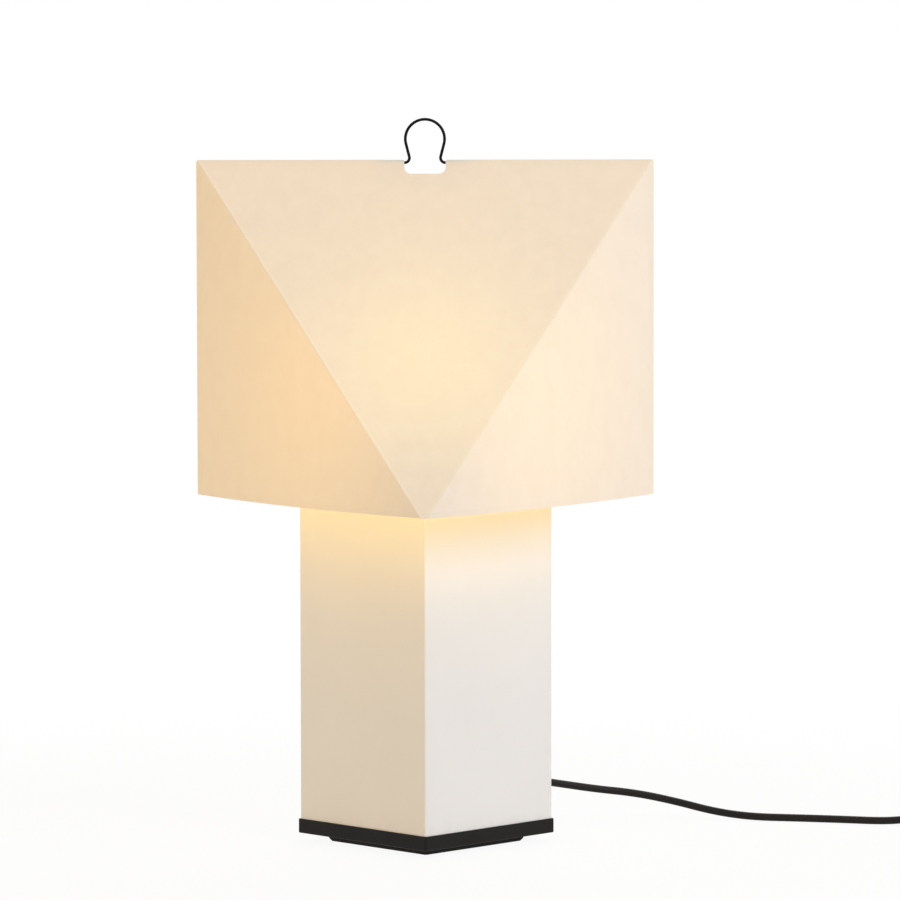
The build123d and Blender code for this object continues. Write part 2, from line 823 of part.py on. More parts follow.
def coil_line():
    middle = pi * coil_half_turns / 2
    turns = sorted([pi * k for k in range(coil_half_turns + 1)] + [middle])
    stations = [coil_point(turn) for turn in turns]
    straight = Vector(switch_x + switch_length - switch_entry, switch_y, coil_top_z)
    edges = [Edge.make_line(straight, stations[0][0])]
    for here, there in zip(stations, stations[1:]):
        edges += biarc(*here, *there)
    back = Vector(-1, 0, 0)
    risen = Vector(coil_x - coil_rise_out, plug_y, plug_z)
    edges += biarc(*stations[-1], risen, back)
    edges.append(Edge.make_line(risen, Vector(relief_x, plug_y, plug_z)))
    return Wire(edges)


def least_self_gap(line, diameter):
    """Smallest gap between stretches of a tube that lie at least half a turn apart."""
    count = 900
    points = [line @ (i / count) for i in range(count + 1)]
    skip = int(count * pi * coil_inner_radius / line.length)
    nearest = min((points[i] - points[j]).length
                  for i in range(0, count + 1) for j in range(i + skip, count + 1))
    return nearest - diameter


def cord_coil():
    line = coil_line()
    cord = tube(line, cord_radius)
    report_tube("coil", cord, line)
    print("coil least gap to itself", round(least_self_gap(line, cord_diameter), 3))
    return cord


def cord_tie():
    """A strap round the bundle on the side away from the lamp."""
    inner = coil_inner_radius + coil_pitch / 2 - cord_radius - tie_side_gap
    outer = coil_inner_radius + coil_pitch * 2.5 + cord_radius + tie_side_gap
    low = coil_bottom_z - cord_radius - tie_gap
    high = coil_top_z + cord_radius + tie_gap
    centre, middle = (inner + outer) / 2, (low + high) / 2
    wide, tall = outer - inner, high - low
    hole = RectangleRounded(wide, tall, tie_round - tie_thickness)
    strap = RectangleRounded(wide + 2 * tie_thickness, tall + 2 * tie_thickness, tie_round)
    band = extrude(Plane.XZ * (strap - hole), tie_width / 2, both=True)
    return Pos(coil_x + centre, coil_y, middle) * band


# ---------------------------------------------------------------- switch in the cord
switch_centre = switch_x + switch_length / 2
switch_height = 2 * switch_z
pivot_z = switch_height - rocker_depth


def stadium(inset, z_low, z_high):
    shape = SlotOverall(switch_length - 2 * inset, switch_width - 2 * inset)
    return Pos(switch_centre, switch_y, z_low) * extrude(shape, z_high - z_low)


def switch_case():
    case = stadium(0, floor_gap, switch_height)
    rims = case.faces().sort_by(Axis.Z)
    case = fillet(rims[0].edges() + rims[-1].edges(), switch_round)
    case -= stadium(switch_wall, floor_gap + switch_wall, switch_height - switch_wall)
    entry = Pos(switch_centre, switch_y, switch_z) * Rot(0, 90, 0) * Cylinder(
        cord_radius + cord_bore_gap, 2 * switch_length)
    return case, entry


def screw_places():
    return [(switch_centre - switch_screw_x, switch_y + switch_screw_y),
            (switch_centre + switch_screw_x, switch_y - switch_screw_y)]


def switch_lower_shell():
    case, entry = switch_case()
    shell = case & stadium(0, floor_gap, switch_z)
    for x, y in screw_places():
        boss = upright(floor_gap + switch_wall / 2, switch_z, switch_boss_radius, x, y)
        shell += boss & stadium(switch_wall / 2, 0, switch_z)
        shell -= upright(0, switch_z, switch_screw_radius + screw_hole_gap, x, y)
        shell -= upright(0, floor_gap + switch_screw_sink + switch_screw_head_height,
                         switch_screw_head_radius + screw_hole_gap, x, y)
    return shell - entry


def switch_upper_shell():
    case, entry = switch_case()
    shell = case & stadium(0, switch_z, switch_height)
    for x, y in screw_places():
        boss = upright(switch_z, switch_height - switch_wall / 2, switch_boss_radius, x, y)
        shell += boss & stadium(switch_wall / 2, switch_z, switch_height - switch_wall / 2)
        shell -= upright(switch_z, switch_z + switch_screw_grip + switch_screw_end_gap,
                         switch_screw_radius + thread_gap, x, y)
    window = Pos(switch_centre, switch_y, switch_height) * Box(
        2 * (rocker_radius + rocker_gap), rocker_width + 2 * rocker_gap, 4 * switch_wall)
    shell -= window
    cheek_in = rocker_width / 2 + rocker_gap
    for side in (-1, 1):
        y = switch_y + side * (cheek_in + cheek_thickness / 2)
        shell += block_between(switch_centre - cheek_half_width, switch_centre + cheek_half_width,
                               y - cheek_thickness / 2, y + cheek_thickness / 2,
                               pivot_z - cheek_half_width, switch_height - switch_wall / 2)
    shell -= Pos(switch_centre, switch_y, pivot_z) * Rot(90, 0, 0) * Cylinder(
        rocker_pin_radius + rocker_pin_gap, rocker_width + 2 * (rocker_gap + cheek_thickness))
    return shell - entry


def switch_rocker():
    """Stored with its far end up, half the throw from level."""
    climb = (rocker_rise - rocker_dip) / rocker_radius
    reach = 2 * rocker_radius
    top = rocker_dip + climb * reach
    wedge = Polyline((-reach, 0, top), (0, 0, rocker_dip), (reach, 0, top), (reach, 0, -rocker_skirt),
                     (-reach, 0, -rocker_skirt), close=True)
    body = extrude(make_face(wedge), rocker_width / 2, both=True)
    body &= Rot(90, 0, 0) * Cylinder(rocker_radius, rocker_width)
    body += Rot(90, 0, 0) * Cylinder(rocker_pin_radius, rocker_width + 2 * rocker_pin_length)
    return Pos(switch_centre, switch_y, pivot_z) * Rot(0, -rocker_half_throw, 0) * body


def switch_screws():
    low = floor_gap + switch_screw_sink
    head_top = low + switch_screw_head_height
    return group([upright(low, head_top, switch_screw_head_radius, x, y)
                  + upright(head_top, switch_z + switch_screw_grip, switch_screw_radius, x, y)
                  for x, y in screw_places()])


def centred_block(x, y, length, width, z_low, z_high):
    return block_between(x - length / 2, x + length / 2, y - width / 2, y + width / 2, z_low, z_high)


def switch_terminals():
    low = floor_gap + switch_wall
    high = low + terminal_block_height
    return group([centred_block(x, switch_y, terminal_block_side, terminal_block_side, low, high)
                  + centred_block(x, switch_y, terminal_post_length, terminal_post_width, high,
                                  high + terminal_post_height)
                  for x in (switch_centre - terminal_block_x, switch_centre + terminal_block_x)])


# ---------------------------------------------------------------- plug
plug_rear = relief_x - plug_relief_length
plug_front = plug_rear - plug_body_length


def plug_body():
    face, grip = plug_face_width / 2, plug_grip_width / 2
    flared = grip + plug_grip_flare
    outline = Polyline((0, -face), (plug_face_length, -face), (plug_shoulder, -flared),
                       (plug_body_length, -grip), (plug_body_length, grip), (plug_shoulder, flared),
                       (plug_face_length, face), (0, face), close=True)
    body = extrude(make_face(outline), plug_thickness)
    uprights = body.edges().filter_by(Axis.Z)
    body = fillet(uprights.filter_by_position(Axis.X, 1, plug_body_length - 1),
                  plug_corner_round)
    body = fillet(body.edges().filter_by(Axis.Z).filter_by_position(Axis.X, -1, 1),
                  plug_face_round)
    rims = body.faces().sort_by(Axis.Z)
    body = fillet(rims[0].edges() + rims[-1].edges(), plug_round)
    body = Pos(plug_front, plug_y, 0.0) * body
    for side in (-1, 1):
        body -= Pos(plug_front + pin_root / 2, plug_y + side * pin_spacing / 2, plug_z) * Rot(
            0, 90, 0) * Cylinder(pin_root_radius + thread_gap, pin_root)
    return body


def plug_pins():
    pin = Pos(-pin_length / 2, 0, 0) * Rot(0, 90, 0) * Cylinder(pin_radius, pin_length)
    pin = fillet(pin.faces().sort_by(Axis.X)[0].edges(), pin_tip_round)
    pin += Pos(pin_root / 2, 0, 0) * Rot(0, 90, 0) * Cylinder(pin_root_radius, pin_root)
    return group([Pos(plug_front, plug_y + side * pin_spacing / 2, plug_z) * pin for side in (-1, 1)])


def plug_relief():
    points = ribbed_relief(plug_rear, relief_x, plug_relief_root_radius, relief_tip_radius)
    outline = [(points[0][0], 0, 0)] + [(d, 0, r) for d, r in points] + [(points[-1][0], 0, 0)]
    sleeve = revolve(make_face(Polyline(*outline, close=True)), Axis.X)
    return Pos(0, plug_y, plug_z) * sleeve


# ---------------------------------------------------------------- write the parts
nodes = [foot_pad, base_plate, base_screws, column_tube, lower_corner_blocks, upper_corner_blocks,
         column_top_plate, top_plate_screws, nipple, nipple_washer, nipple_nut, harp_saddle,
         harp_wire, lampholder_cap, lampholder_shell, lampholder_core, lampholder_sleeve,
         lampholder_contact, lampholder_terminals, bulb_glass, bulb_cap, bulb_insulator,
         bulb_tip_contact, bulb_stem, bulb_filaments, shade_front_sheet, shade_back_sheet,
         shade_bottom_binding, shade_side_bindings, shade_ridge_bindings, cord_strain_relief,
         inner_cord, inner_cord_cores, cord_lead, cord_coil, cord_tie, switch_lower_shell,
         switch_upper_shell, switch_rocker, switch_screws, switch_terminals, plug_body, plug_pins,
         plug_relief]
os.makedirs("parts", exist_ok=True)
for make in nodes:
    export_step(make(), f"parts/{make.__name__}.step")
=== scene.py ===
import math

import bmesh
import bpy
from mathutils import Matrix, Vector


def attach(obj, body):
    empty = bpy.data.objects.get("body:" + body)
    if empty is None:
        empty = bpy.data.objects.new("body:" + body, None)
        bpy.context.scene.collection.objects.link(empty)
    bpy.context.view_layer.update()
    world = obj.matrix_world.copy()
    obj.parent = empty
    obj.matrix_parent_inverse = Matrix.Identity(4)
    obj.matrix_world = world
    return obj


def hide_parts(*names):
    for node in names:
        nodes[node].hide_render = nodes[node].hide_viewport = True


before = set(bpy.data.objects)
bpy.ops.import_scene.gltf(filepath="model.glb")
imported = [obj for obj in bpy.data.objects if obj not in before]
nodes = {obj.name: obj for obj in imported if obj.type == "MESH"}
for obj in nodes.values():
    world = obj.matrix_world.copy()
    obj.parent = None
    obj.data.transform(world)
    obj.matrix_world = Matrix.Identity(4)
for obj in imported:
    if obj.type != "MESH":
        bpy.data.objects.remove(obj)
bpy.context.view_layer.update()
print("frame loaded:", len(nodes), "nodes")


# a shader socket that can be added, multiplied and so on
class Value:
    def __init__(self, finish, socket):
        self.finish = finish
        self.socket = socket

    def maths(self, operation, *others):
        node = self.finish.tree.nodes.new("ShaderNodeMath")
        node.operation = operation
        for slot, item in zip(node.inputs, (self, *others)):
            self.finish.feed(slot, item)
        return Value(self.finish, node.outputs[0])

    def __add__(self, other):
        return self.maths("ADD", other)

    __radd__ = __add__

    def __mul__(self, other):
        return self.maths("MULTIPLY", other)

    __rmul__ = __mul__

    def __sub__(self, other):
        return self.maths("SUBTRACT", other)

    def __rsub__(self, other):
        return (self * -1) + other

    def __truediv__(self, other):
        return self.maths("DIVIDE", other)

    def __pow__(self, other):
        return self.maths("POWER", other)

    def __abs__(self):
        return self.maths("ABSOLUTE")

    def most(self, other):
        return self.maths("MAXIMUM", other)

    def spot(self):
        # 1 at zero, falling away as a bell
        return (self * -1).maths("EXPONENT")


class Finish:
    def __init__(self, name=None, tree=None):
        if name:
            self.material = bpy.data.materials.new(name)
            self.material.use_nodes = True
            tree = self.material.node_tree
        self.tree = tree
        self.tree.nodes.clear()

    def feed(self, slot, item):
        if isinstance(item, Value):
            self.tree.links.new(item.socket, slot)
        elif isinstance(item, (tuple, list)) and len(item) == 3 and slot.type == "RGBA":
            slot.default_value = (*item, 1)
        else:
            slot.default_value = item

    def node(self, kind, settings=None, inputs=None, out=0):
        node = self.tree.nodes.new(kind)
        for key, setting in (settings or {}).items():
            setattr(node, key, setting)
        for key, item in (inputs or {}).items():
            self.feed(node.inputs[key], item)
        return Value(self, node.outputs[out])

    def place(self):
        return self.node("ShaderNodeTexCoord", out="Object")

    def stretched(self, vector, scale, turn=(0, 0, 0)):
        return self.node("ShaderNodeMapping", {}, {"Vector": vector, "Rotation": turn, "Scale": scale})

    def axes(self, vector):
        split = self.node("ShaderNodeSeparateXYZ", {}, {"Vector": vector})
        return [Value(self, part) for part in split.socket.node.outputs]

    def noise(self, vector, scale, detail=3, roughness=0.55):
        return self.node("ShaderNodeTexNoise", {}, {
            "Vector": vector, "Scale": scale, "Detail": detail, "Roughness": roughness}, out="Fac")

    def between(self, value, low, high, start=0.0, end=1.0):
        # start below the low value, end above the high one, and a soft step from one to the other
        return self.node("ShaderNodeMapRange", {"interpolation_type": "SMOOTHSTEP"}, {
            "Value": value, "From Min": low, "From Max": high, "To Min": start, "To Max": end})

    def blend(self, factor, one, two):
        node = self.tree.nodes.new("ShaderNodeMix")
        node.data_type = "RGBA"
        self.feed(node.inputs["Factor"], factor)
        self.feed(node.inputs["A"], one)
        self.feed(node.inputs["B"], two)
        return Value(self, node.outputs["Result"])

    def scaled(self, colour, level):
        return self.node("ShaderNodeVectorMath", {"operation": "SCALE"}, {0: colour, "Scale": level})

    def tones(self, mask, look):
        return self.blend(self.between(mask, 0.3, 0.7), look["dark"], look["pale"])

    def roughness(self, mask, look):
        return self.between(mask, 0.3, 0.7, *look["rough"])

    def bump(self, height, distance, strength):
        return self.node("ShaderNodeBump", {}, {
            "Height": height, "Distance": distance, "Strength": strength})

    def surface(self, **inputs):
        return self.node("ShaderNodeBsdfPrincipled", {}, {
            key.replace("_", " "): item for key, item in inputs.items()})

    def seenDirectly(self):
        rays = self.node("ShaderNodeLightPath").socket.node.outputs
        camera, glossy, through = (Value(self, rays[name]) for name in (
            "Is Camera Ray", "Is Glossy Ray", "Is Transmission Ray"))
        return camera.most(glossy).most(through)

    def end(self, kind, shader):
        out = self.tree.nodes.new(kind)
        self.tree.links.new(shader.socket, out.inputs["Surface"])

    def done(self, shader):
        self.end("ShaderNodeOutputMaterial", shader)
        return self.material


def dress(material, *names):
    for name in names:
        mesh = nodes[name].data
        mesh.materials.clear()
        mesh.materials.append(material)


def newPiece(name, form, materials, body, replaced):
    mesh = bpy.data.meshes.new(name)
    form.to_mesh(mesh)
    form.free()
    piece = bpy.data.objects.new(name, mesh)
    bpy.context.scene.collection.objects.link(piece)
    for material in materials:
        mesh.materials.append(material)
    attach(piece, body)
    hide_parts(replaced)
    return piece


# camera: metres, degrees, and millimetres for its lens and sensor
view = dict(
    target=(0.0204, 0, 0.3288), distance=6.6667, down=5.8, turn=0.1, roll=-0.09, lens=320, sensor=36,
    nearest=0.1, farthest=60)


def setCamera():
    data = bpy.data.cameras.new("camera")
    data.lens = view["lens"]
    data.sensor_width = view["sensor"]
    data.clip_start, data.clip_end = view["nearest"], view["farthest"]
    camera = bpy.data.objects.new("camera", data)
    bpy.context.scene.collection.objects.link(camera)
    bpy.context.scene.camera = camera
    down, turn, roll = (math.radians(view[angle]) for angle in ("down", "turn", "roll"))
    back = Vector((math.sin(turn) * math.cos(down), -math.cos(turn) * math.cos(down), math.sin(down)))
    camera.location = Vector(view["target"]) + back * view["distance"]
    aim = (-back).to_track_quat("-Z", "Y").to_matrix()
    camera.rotation_euler = (aim @ Matrix.Rotation(roll, 3, "Z")).to_euler()


setCamera()
print("camera set")


# floor, backdrop and lamps
studio = dict(
    floorSize=16.0, floorColour=(0.88, 0.88, 0.875), floorWhite=0.93, fadeFrom=0.35, fadeTo=0.95,
    skyColour=(1.0, 0.96, 0.84), skyLevel=0.483, white=(1.0, 1.0, 1.0), aim=(0, 0, 0.3),
    lamps=[
        dict(name="keyLamp", place=(2.7, -2.3, 2.0), size=2.0, power=64, colour=(0.78, 0.83, 1.0)),
        dict(name="fillLamp", place=(-2.7, -2.4, 1.5), size=2.4, power=28, colour=(1.0, 0.52, 0.10)),
        dict(name="backLamp", place=(0.8, 3.0, 2.8), size=2.4, power=43, colour=(1.0, 0.92, 0.90)),
    ])


def makeFloor():
    form = bmesh.new()
    bmesh.ops.create_grid(form, x_segments=2, y_segments=2, size=studio["floorSize"] / 2)
    mesh = bpy.data.meshes.new("floor")
    form.to_mesh(mesh)
    form.free()
    floor = bpy.data.objects.new("floor", mesh)
    bpy.context.scene.collection.objects.link(floor)

    # white where it is seen, apart from a faint shadow near the foot
    paint = Finish("floorPaint")
    seen = paint.seenDirectly()
    away = paint.node("ShaderNodeVectorMath", {"operation": "LENGTH"}, {0: paint.place()}, out="Value")
    far = paint.between(away, studio["fadeFrom"], studio["fadeTo"], studio["floorWhite"], 1.0)
    matt = paint.surface(Base_Color=studio["floorColour"], Roughness=0.9)
    white = paint.node("ShaderNodeEmission", {}, {"Color": studio["white"], "Strength": 1.0})
    mesh.materials.append(paint.done(
        paint.node("ShaderNodeMixShader", {}, {0: seen * far, 1: matt, 2: white})))


def makeAir():
    world = bpy.data.worlds.new("studioAir")
    bpy.context.scene.world = world
    world.use_nodes = True
    air = Finish(tree=world.node_tree)
    sky = air.node("ShaderNodeBackground", {}, {"Color": studio["skyColour"], "Strength": studio["skyLevel"]})
    backdrop = air.node("ShaderNodeBackground", {}, {"Color": studio["white"], "Strength": 1.0})
    air.end("ShaderNodeOutputWorld", air.node(
        "ShaderNodeMixShader", {}, {0: air.seenDirectly(), 1: sky, 2: backdrop}))


def hangLamps():
    for lamp in studio["lamps"]:
        data = bpy.data.lights.new(lamp["name"], "AREA")
        data.shape = "DISK"
        data.size = lamp["size"]
        data.energy = lamp["power"]
        data.color = lamp["colour"]
        light = bpy.data.objects.new(lamp["name"], data)
        bpy.context.scene.collection.objects.link(light)
        light.location = lamp["place"]
        aim = Vector(studio["aim"]) - light.location
        light.rotation_euler = aim.to_track_quat("-Z", "Y").to_euler()


makeFloor()
makeAir()
hangLamps()
bpy.context.scene.view_settings.view_transform = "Standard"
print("stage and lamps set")


# the mains cord: out of the column, through the switch, round its tied coil, to the plug
cord = dict(
    diameter=0.0065, length=1.8, floorZ=0.00325, exit=(0.071064, 0.071064, 0.039),
    switchY=0.078, switchZ=0.0115, coilCentre=(0.546, 0.123925), coilInner=0.0264, coilPitch=0.0071,
    coilLow=0.0044, halfTurns=11, pointsPerTurn=16, plugY=0.16985, plugZ=0.007,
    dark=(0.006, 0.0050, 0.0040), pale=(0.010, 0.0085, 0.0068), rough=(0.42, 0.56), shine=0.2)


def cordRoute():
    outX, outY, outZ = cord["exit"]
    floorZ, switchY, switchZ = cord["floorZ"], cord["switchY"], cord["switchZ"]
    points = [
        (outX, outY, outZ), (outX + 0.017, outY + 0.017, outZ), (0.112, 0.106, 0.033),
        (0.143, 0.119, 0.0265), (0.178, 0.125, 0.022), (0.212, 0.124, 0.015), (0.244, 0.119, 0.007),
        (0.276, 0.112, floorZ), (0.314, 0.105, floorZ), (0.354, 0.096, floorZ), (0.388, 0.086, floorZ),
        (0.410, 0.0805, floorZ + 0.0025), (0.427, switchY, switchZ), (0.448, switchY, switchZ),
        (0.472, switchY, switchZ), (0.496, switchY, switchZ), (0.522, switchY, switchZ)]
    # the coil: in to its middle turn, down one layer there, and out again underneath
    middle = math.pi * cord["halfTurns"] / 2
    count = cord["pointsPerTurn"] * cord["halfTurns"] // 2
    outward = 1 / math.cos(math.pi / cord["pointsPerTurn"])
    centreX, centreY = cord["coilCentre"]
    for step in range(count + 1):
        turn = math.pi * cord["halfTurns"] * step / count
        radius = cord["coilInner"] + cord["coilPitch"] * abs(turn - middle) / (2 * math.pi)
        drop = min(max((turn - middle) / math.pi + 0.5, 0), 1)
        height = switchZ - (switchZ - cord["coilLow"]) * (1 - math.cos(math.pi * drop)) / 2
        bearing = turn - math.pi / 2
        points.append((centreX + radius * outward * math.cos(bearing),
                       centreY + radius * outward * math.sin(bearing), height))
    plugY, plugZ = cord["plugY"], cord["plugZ"]
    points += [(0.532, plugY + 0.0004, 0.0049), (0.520, plugY, plugZ), (0.500, plugY, plugZ)]
    return points


def cordJacket():
    skin = Finish("cordJacket")
    place = skin.place()
    cloudy = skin.noise(place, 60)
    fine = skin.noise(place, 1100, 2)
    colour = skin.blend(skin.between(cloudy, 0.35, 0.7), cord["dark"], cord["pale"])
    return skin.done(skin.surface(
        Base_Color=colour, Roughness=skin.roughness(cloudy, cord),
        Normal=skin.bump(fine, 0.00003, 0.6), Specular_IOR_Level=cord["shine"]))


def makeCord():
    material = cordJacket()
    line = bpy.data.curves.new("mainsCord", "CURVE")
    line.dimensions = "3D"
    line.bevel_depth = cord["diameter"] / 2
    line.bevel_resolution = 5
    line.resolution_u = 6
    line.use_fill_caps = True
    spline = line.splines.new("NURBS")
    route = cordRoute()
    spline.points.add(len(route) - 1)
    for point, place in zip(spline.points, route):
        point.co = (*place, 1)
    spline.order_u = 3
    spline.use_endpoint_u = True
    line.materials.append(material)
    piece = bpy.data.objects.new("mainsCord", line)
    bpy.context.scene.collection.objects.link(piece)
    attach(piece, "lamp")
    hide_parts("cord_lead", "cord_coil")
    dress(material, "inner_cord")


makeCord()
print("cord laid")


# the folded paper shade: its sizes, what light does in its paper, and its inner side
shade = dict(
    half=0.190, bottom=0.292, ridge=0.571, ridgeRadius=0.00235, ridgeSteps=8, blunt=0.003, bow=0.012,
    thickness=0.0006, arcSteps=24, rows=20, bandWidth=0.0045, sharpAngle=14,
    notchWidth=0.0344, notchDepth=0.011, backNotchExtra=0.0022, notchCorner=0.0056, notchFlare=0.0016,
    notchSteps=8, notchReach=0.035)

paper = dict(
    dark=(0.707, 0.662, 0.592), pale=(0.731, 0.686, 0.616), fibreDepth=0.0002,
    glow=(0.233, 0.159, 0.074), glowFacet=(0.362, 0.257, 0.080), glowPanel=(0.385, 0.232, 0.078),
    facetSpot=(0.0, 0.410), facetSpread=(0.10, 0.085), panelSpot=(0.085, 0.394), panelSpread=(0.082, 0.125),
    creaseBlend=(0.0006, 0.0016), foldWidth=(0.0003, 0.0042), foldDepth=0.0009,
    foldColour=(0.80, 0.77, 0.71), foldTint=0.15, edgeBlend=0.0003, cornerSpread=(0.055, 0.07),
    wireEnds=(0.024, 0.054), wireBand=(0.5685, 0.5698), hazeBand=(0.543, 0.571),
    wireColour=(0.76, 0.78, 0.74), wireTint=0.8,
    share=dict(grain=0.035, fold=0.03, bound=0.05, corner=0.3, haze=0.18, wire=0.6))

lining = dict(
    dark=(0.74, 0.69, 0.62), pale=(0.79, 0.74, 0.67), colour=(1.0, 0.64, 0.09), low=1.65, top=0.1,
    topFrom=0.41, grainShare=0.02, bindingDark=(0.68, 0.625, 0.55), bindingPale=(0.73, 0.675, 0.60))


def roofLine():
    # where both roof planes would meet above the rounded ridge, and their slope from upright
    shoulder = shade["ridge"] - shade["ridgeRadius"]
    span, rise = shade["half"] - shade["blunt"], shoulder - shade["bottom"]
    slope = math.atan2(span, rise) - math.asin(shade["ridgeRadius"] / math.hypot(span, rise))
    return shoulder + shade["ridgeRadius"] / math.sin(slope), slope


def paperGrain(finish, place):
    # long fibres over soft clouds, about -1 to 1
    clouds = finish.noise(finish.stretched(place, (1, 1, 0.6)), 75, 5, 0.65)
    fibres = finish.noise(finish.stretched(place, (1, 1, 0.35), (0.2, 0.15, 0)), 520, 4, 0.6)
    grain = finish.between(clouds, 0.3, 0.7, -0.45, 0.45) + finish.between(fibres, 0.3, 0.7, -0.55, 0.55)
    return clouds, fibres, grain


def glowSpot(x, z, middle, spread):
    return (((x - middle[0]) / spread[0]) ** 2 + ((z - middle[1]) / spread[1]) ** 2).spot()


def shadePaper():
    apex, slope = roofLine()
    finish = Finish("shadePaper")
    place = finish.place()
    x, y, z = finish.axes(place)
    # how far a point lies behind the roof plane: nothing on a sloping facet, more on a side panel
    belowRoof = (apex - z) * math.tan(slope) - abs(y)
    sidePanel = finish.between(belowRoof, *paper["creaseBlend"])
    # painted highlight along a crease, on the facet's side: a paler tone and a little more glow
    fromCrease = shade["half"] - abs(x) - abs(y)
    fold = finish.between(fromCrease, *paper["foldWidth"], 1.0, 0.0)
    fold = fold * finish.between(belowRoof, 0.0, paper["foldDepth"], 1.0, 0.0)
    # the bulb's light comes through strongest where the paper stands nearest to it
    facet = finish.blend(glowSpot(x, z, paper["facetSpot"], paper["facetSpread"]),
                         paper["glow"], paper["glowFacet"])
    panel = finish.blend(glowSpot(abs(x), z, paper["panelSpot"], paper["panelSpread"]),
                         paper["glow"], paper["glowPanel"])
    # painted shade: the glow dims towards the front bottom corner
    farCorner = glowSpot(x, z, (0, shade["bottom"]), paper["cornerSpread"])
    # painted shade at the bound edges, where two layers let less light through
    band, soft = shade["bandWidth"], paper["edgeBlend"]
    bound = finish.between(z, shade["ridge"] - band - soft, shade["ridge"] - band)
    bound = bound.most(finish.between(z, shade["bottom"] + band, shade["bottom"] + band + soft, 1.0, 0.0))
    bound = bound.most(finish.between(abs(x), shade["half"] - band - soft, shade["half"] - band))
    # the wire's shadow under the ridge, on both sides of the notch
    shoulder = finish.between(abs(x), *paper["wireEnds"], 1.0, 0.0)
    wire = finish.between(z, *paper["wireBand"]) * shoulder
    haze = finish.between(z, *paper["hazeBand"]) * shoulder
    clouds, fibres, grain = paperGrain(finish, place)
    share = paper["share"]
    level = (1 + grain * share["grain"] - bound * share["bound"] + fold * share["fold"]
             - farCorner * share["corner"] - haze * share["haze"] - wire * share["wire"])
    tone = finish.blend(finish.between(clouds, 0.25, 0.75), paper["dark"], paper["pale"])
    tone = finish.blend(fold * paper["foldTint"], tone, paper["foldColour"])
    tone = finish.blend(wire * paper["wireTint"], tone, paper["wireColour"])
    return finish.done(finish.surface(
        Base_Color=tone, Roughness=0.85, Normal=finish.bump(fibres, paper["fibreDepth"], 0.5),
        Emission_Color=finish.scaled(finish.blend(sidePanel, facet, panel), level), Emission_Strength=1.0,
        Sheen_Weight=0.05))


def shadeLining(name, dark, pale):
    # the inner side, a painted glow standing in for the bulb's light inside the shade: bright near the bottom
    # edge and dim under the ridge, and it also lights the column below
    finish = Finish(name)
    place = finish.place()
    height = finish.axes(place)[2]
    clouds, fibres, grain = paperGrain(finish, place)
    level = finish.between(height, shade["bottom"], lining["topFrom"], lining["low"], lining["top"])
    return finish.done(finish.surface(
        Base_Color=finish.blend(finish.between(clouds, 0.3, 0.7), dark, pale), Roughness=0.88,
        Normal=finish.bump(fibres, paper["fibreDepth"], 0.5),
        Emission_Color=finish.scaled(lining["colour"], level + grain * lining["grainShare"]),
        Emission_Strength=1.0))


def everything(form):
    return form.verts[:] + form.edges[:] + form.faces[:]


def shadeForm():
    near, merge = 0.00002, 0.00001
    apex, slope = roofLine()
    reach = (apex - shade["bottom"]) * math.tan(slope)
    side = Vector((-shade["half"], 0, shade["bottom"]))
    front = Vector((-(shade["half"] - reach), -reach, shade["bottom"]))
    top = Vector((-shade["half"], 0, apex))
    chord = (front - side).length
    radius = (chord / 2) ** 2 / (2 * shade["bow"]) + shade["bow"] / 2
    centre = (side + front) / 2 + Vector((1, 1, 0)).normalized() * (radius - shade["bow"])

    # one side panel: its bowed bottom edge, drawn in row by row to the ridge's end
    form = bmesh.new()
    start = form.verts.new(side)
    bmesh.ops.spin(form, geom=[start], cent=centre, axis=(0, 0, 1), dvec=(0, 0, 0),
                   angle=2 * math.asin(chord / 2 / radius), steps=shade["arcSteps"], use_merge=False)
    edges = list(form.edges)
    for row in range(shade["rows"], 0, -1):
        grown = bmesh.ops.extrude_edge_only(form, edges=edges)["geom"]
        verts = [item for item in grown if isinstance(item, bmesh.types.BMVert)]
        edges = [item for item in grown if isinstance(item, bmesh.types.BMEdge)
                 and all(vert in verts for vert in item.verts)]
        bmesh.ops.scale(form, vec=((row - 1) / row,) * 3, space=Matrix.Translation(-top), verts=verts)
    bmesh.ops.remove_doubles(form, verts=form.verts, dist=merge)

    # the other side panel, the sloping facet between the two creases, and the same at the back
    bmesh.ops.mirror(form, geom=everything(form), axis="X", merge_dist=merge)
    creases = [edge for edge in form.edges if edge.is_boundary and all(
        abs((apex - vert.co.z) * math.tan(slope) + vert.co.y) < near for vert in edge.verts)]
    bmesh.ops.bridge_loops(form, edges=creases)
    bmesh.ops.mirror(form, geom=everything(form), axis="Y", merge_dist=near)
    bmesh.ops.remove_doubles(form, verts=form.verts, dist=near)
    bmesh.ops.recalc_face_normals(form, faces=form.faces)
    if sum(face.normal.z * face.calc_area() for face in form.faces) < 0:
        bmesh.ops.reverse_faces(form, faces=form.faces)

    # the rounded ridge that lies on the wire
    ridge = [edge for edge in form.edges if all(
        abs(vert.co.y) < merge and vert.co.z > apex - 0.0001 for vert in edge.verts)]
    bmesh.ops.bevel(form, geom=ridge, offset=shade["ridgeRadius"] / math.tan(slope), profile=0.5,
                    segments=shade["ridgeSteps"], affect="EDGES", material=-1, clamp_overlap=False)
    return form


